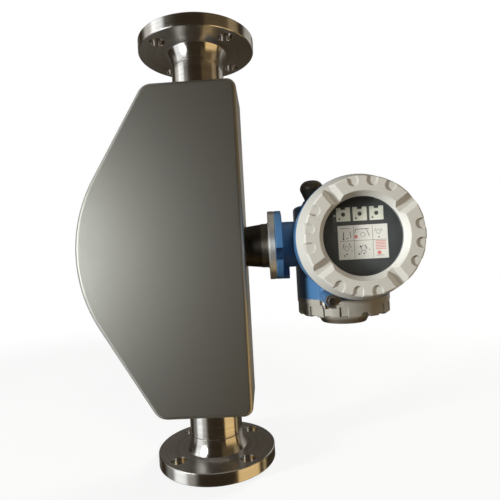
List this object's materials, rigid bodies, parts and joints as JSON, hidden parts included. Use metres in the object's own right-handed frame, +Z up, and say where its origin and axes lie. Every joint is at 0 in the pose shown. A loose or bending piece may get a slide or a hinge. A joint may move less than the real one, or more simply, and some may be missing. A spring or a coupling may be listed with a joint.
{
  "type": "coriolis flow meter",
  "caption": "Upright flanged mass flow meter: bowed flat steel sensor housing with two bent tubes inside and a blue side-mounted transmitter with a round display window.",
  "frame": {"origin": "centre of the lower flange raised face, on the pipe axis", "axes": "+Z up the pipe axis to the upper flange, +X towards the transmitter, -Y towards the side that the display faces"},
  "size_m": [0.4159, 0.2175, 0.5545],
  "materials": {
    "flange_steel": "polished",
    "housing_steel": "satin",
    "tube_steel": "satin",
    "neck_dark": "matte",
    "ring_steel": "satin",
    "blue_paint": "satin",
    "grey_paint": "satin",
    "clamp_steel": "satin",
    "screw_steel": "satin",
    "seal_rubber": "matte",
    "window": "gloss",
    "feedthrough_glass": "satin",
    "pin_metal": "satin",
    "coil_copper": "satin",
    "magnet_metal": "satin",
    "bracket_steel": "satin",
    "board_green": "satin",
    "carrier_plastic": "matte",
    "bezel_plastic": "matte",
    "key_plastic": "satin",
    "label_film": "satin",
    "terminal_plastic": "matte",
    "plug_plastic": "matte"
  },
  "bodies": {
    "sensor": {"lower_flange": "flange_steel", "upper_flange": "flange_steel", "lower_flow_divider": "flange_steel", "upper_flow_divider": "flange_steel", "front_housing_shell": "housing_steel", "rear_housing_shell": "housing_steel", "lower_brace_plate": "tube_steel", "upper_brace_plate": "tube_steel", "sensor_neck": "neck_dark", "neck_collar": "ring_steel", "neck_seal": "seal_rubber", "feedthrough": "feedthrough_glass", "feedthrough_pins": "pin_metal"},
    "front_tube": {"front_measuring_tube": "tube_steel", "drive_coil_bracket": "bracket_steel", "drive_coil": "coil_copper", "pickoff_coil_brackets": "bracket_steel", "pickoff_coils": "coil_copper"},
    "rear_tube": {"rear_measuring_tube": "tube_steel", "drive_magnet_bracket": "bracket_steel", "drive_magnet": "magnet_metal", "pickoff_magnet_brackets": "bracket_steel", "pickoff_magnets": "magnet_metal"},
    "transmitter": {"transmitter_housing": "blue_paint", "securing_screw": "screw_steel", "electronics_carrier": "carrier_plastic", "power_board": "board_green", "signal_board": "board_green", "output_board": "board_green", "display_holder": "carrier_plastic", "terminal_board": "board_green", "terminal_block": "terminal_plastic", "terminal_screws": "screw_steel", "ground_screw": "pin_metal", "display_clamp_screw": "screw_steel", "terminal_clamp_screw": "screw_steel"},
    "display": {"display_frame": "bezel_plastic", "display_board": "board_green", "display_keys": "key_plastic", "display_label": "label_film"},
    "display_cover_ring": {"display_cover_seal": "seal_rubber"},
    "display_cover": {"display_cover": "grey_paint", "window_glass": "window", "glass_retainer": "carrier_plastic"},
    "terminal_cover_ring": {"terminal_cover_seal": "seal_rubber"},
    "terminal_cover": {"terminal_cover": "grey_paint"},
    "left_washer": {"left_entry_washer": "seal_rubber"},
    "left_plug": {"left_entry_plug": "plug_plastic"},
    "right_washer": {"right_entry_washer": "seal_rubber"},
    "right_plug": {"right_entry_plug": "plug_plastic"},
    "display_clamp": {"display_cover_clamp": "clamp_steel"},
    "terminal_clamp": {"terminal_cover_clamp": "clamp_steel"}
  },
  "joints": [
    {"name": "front_tube_swing", "type": "hinge", "parent": "sensor", "child": "front_tube", "pos_m": [0, -0.018, 0.27725], "axis": [0, 0, 1], "range_deg": [-0.25, 0.25], "stiffness_Nm_per_rad": 40},
    {"name": "rear_tube_swing", "type": "hinge", "parent": "sensor", "child": "rear_tube", "pos_m": [0, 0.018, 0.27725], "axis": [0, 0, 1], "range_deg": [-0.25, 0.25], "stiffness_Nm_per_rad": 40},
    {"name": "transmitter_turn", "type": "hinge", "parent": "sensor", "child": "transmitter", "pos_m": [0.1, 0, 0.27725], "axis": [1, 0, 0], "range_deg": [-180, 180]},
    {"name": "display_turn", "type": "hinge", "parent": "transmitter", "child": "display", "pos_m": [0.1834, -0.06, 0.27975], "axis": [0, -1, 0], "range_deg": [-180, 180]},
    {"name": "display_cover_lift", "type": "slide", "parent": "transmitter", "child": "display_cover_ring", "axis": [0, -1, 0], "range_m": [0, 0.014]},
    {"name": "display_cover_turn", "type": "hinge", "parent": "display_cover_ring", "child": "display_cover", "pos_m": [0.1834, -0.1, 0.27975], "axis": [0, -1, 0], "range_deg": [0, 2520]},
    {"name": "terminal_cover_lift", "type": "slide", "parent": "transmitter", "child": "terminal_cover_ring", "axis": [0, 0, -1], "range_m": [0, 0.014]},
    {"name": "terminal_cover_turn", "type": "hinge", "parent": "terminal_cover_ring", "child": "terminal_cover", "pos_m": [0.1834, 0.04, 0.18725], "axis": [0, 0, -1], "range_deg": [0, 2520]},
    {"name": "left_plug_lift", "type": "slide", "parent": "transmitter", "child": "left_washer", "axis": [0, 0, 1], "range_m": [0, 0.0135]},
    {"name": "left_plug_turn", "type": "hinge", "parent": "left_washer", "child": "left_plug", "pos_m": [0.148, 0.04, 0.33725], "axis": [0, 0, 1], "range_deg": [0, 3240]},
    {"name": "right_plug_lift", "type": "slide", "parent": "transmitter", "child": "right_washer", "axis": [0, 0, 1], "range_m": [0, 0.0135]},
    {"name": "right_plug_turn", "type": "hinge", "parent": "right_washer", "child": "right_plug", "pos_m": [0.186, 0.04, 0.33725], "axis": [0, 0, 1], "range_deg": [0, 3240]},
    {"name": "display_clamp_turn", "type": "hinge", "parent": "transmitter", "child": "display_clamp", "pos_m": [0.14925, -0.081, 0.20973], "axis": [0, 1, 0], "range_deg": [0, 100]},
    {"name": "terminal_clamp_turn", "type": "hinge", "parent": "transmitter", "child": "terminal_clamp", "pos_m": [0.15035, -0.02216, 0.20015], "axis": [0, 0, 1], "range_deg": [0, 70]}
  ],
  "couplings": [
    {"joint": "rear_tube_swing", "follows": "front_tube_swing", "ratio": -1},
    {"joint": "display_cover_lift", "follows": "display_cover_turn", "m_per_rad": 0.00031831},
    {"joint": "terminal_cover_lift", "follows": "terminal_cover_turn", "m_per_rad": 0.00031831},
    {"joint": "left_plug_turn", "follows": "left_plug_lift", "rad_per_m": 4188.8},
    {"joint": "right_plug_turn", "follows": "right_plug_lift", "rad_per_m": 4188.8}
  ]
}
